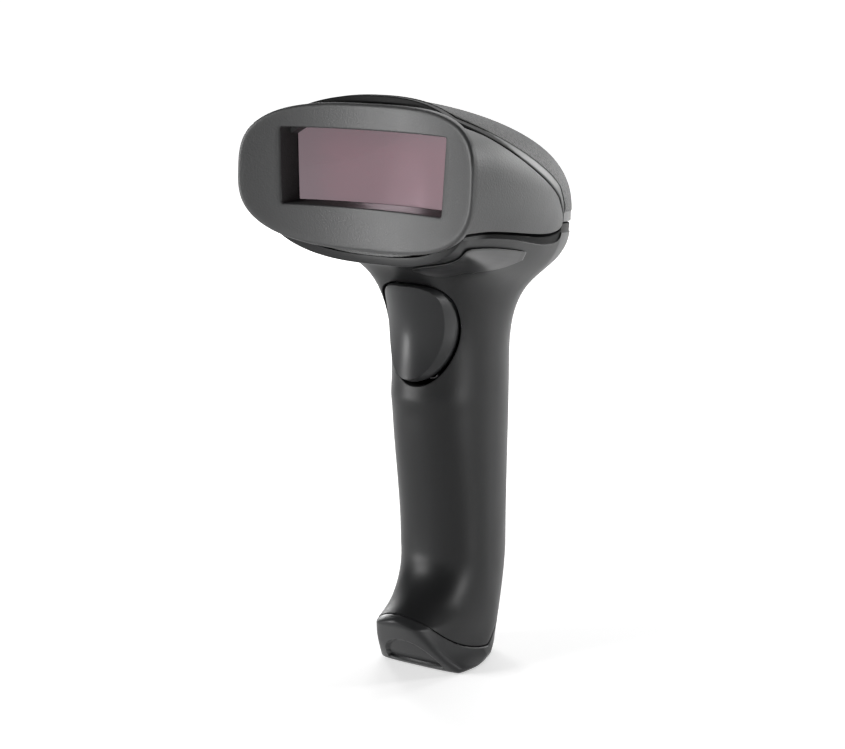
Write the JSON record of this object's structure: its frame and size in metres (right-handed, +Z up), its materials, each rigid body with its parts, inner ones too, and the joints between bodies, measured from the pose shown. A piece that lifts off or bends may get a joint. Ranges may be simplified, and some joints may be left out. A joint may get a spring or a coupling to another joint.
{
  "type": "handheld barcode scanner",
  "caption": "Pistol-grip handheld barcode scanner: a long oval head with a deep dark red window, a scooped trigger under it, and a flared foot with a cable socket in its sole.",
  "frame": {"origin": "on the ground under the middle of the whole scanner, at the height of the sole it stands on", "axes": "+Z up along the grip, -Y the way the window looks, +X to the right of someone facing the window"},
  "size_m": [0.0716, 0.0879, 0.1555],
  "materials": {
    "charcoal": "satin moulded charcoal plastic",
    "satin_grey": "satin moulded dark grey plastic",
    "textured_black": "finely grained black plastic",
    "window_red": "polished dark red window",
    "rubber": "black foam rubber",
    "label_black": "smooth black label film",
    "steel": "plain steel",
    "brass": "turned brass",
    "aluminium": "cast aluminium",
    "mirror": "front-silvered mirror",
    "copper": "enamelled copper winding",
    "board_green": "green solder mask",
    "black_plastic": "black moulded plastic",
    "clear": "clear moulded plastic",
    "flex_orange": "amber flexible circuit film"
  },
  "bodies": {
    "housing": {"handle_shell": "charcoal", "top_cover": "textured_black", "front_bezel": "satin_grey", "window_pane": "window_red", "window_gasket": "rubber", "trigger_pin": "steel", "trigger_spring": "steel", "switch_body": "black_plastic", "bottom_cap": "charcoal", "label_plate": "label_black", "light_pipe": "clear", "status_led": "clear", "inner_deck": "black_plastic", "deck_screw_left": "steel", "deck_screw_right": "steel", "engine_standoff_left": "brass", "engine_standoff_right": "brass", "engine_standoff_rear": "brass", "engine_base": "aluminium", "engine_screw_left": "steel", "engine_screw_right": "steel", "engine_screw_rear": "steel", "laser_block": "aluminium", "laser_barrel": "brass", "laser_lens": "clear", "collecting_mirror": "mirror", "mirror_shaft": "steel", "drive_coil": "copper", "coil_bracket": "black_plastic", "photodetector": "black_plastic", "detector_board": "board_green", "engine_board": "board_green", "ribbon_cable": "flex_orange", "main_board": "board_green", "decoder_chip": "black_plastic", "supply_capacitor": "aluminium", "beeper": "black_plastic", "cable_socket": "black_plastic"},
    "trigger_lever": {"trigger": "charcoal"},
    "plunger": {"switch_plunger": "steel"},
    "swinging_mirror": {"mirror_hub": "black_plastic", "scan_mirror": "mirror", "mirror_magnet": "steel"}
  },
  "joints": [
    {"name": "trigger_hinge", "type": "hinge", "parent": "housing", "child": "trigger_lever", "pos_m": [0, -0.0046, 0.103], "axis": [1, 0, 0], "range_deg": [0, 6], "stiffness_Nm_per_rad": 0.15, "springref_deg": -5.73, "deforming": ["trigger_spring"]},
    {"name": "plunger_slide", "type": "slide", "parent": "housing", "child": "plunger", "axis": [0, 1, 0], "range_m": [0, 0.0016]},
    {"name": "mirror_hinge", "type": "hinge", "parent": "housing", "child": "swinging_mirror", "pos_m": [0.009, 0.00241, 0.135], "axis": [0, 0, 1], "range_deg": [-12, 12], "stiffness_Nm_per_rad": 0.0004}
  ],
  "couplings": [
    {"joint": "plunger_slide", "follows": "trigger_hinge", "m_per_rad": 0.0145}
  ]
}
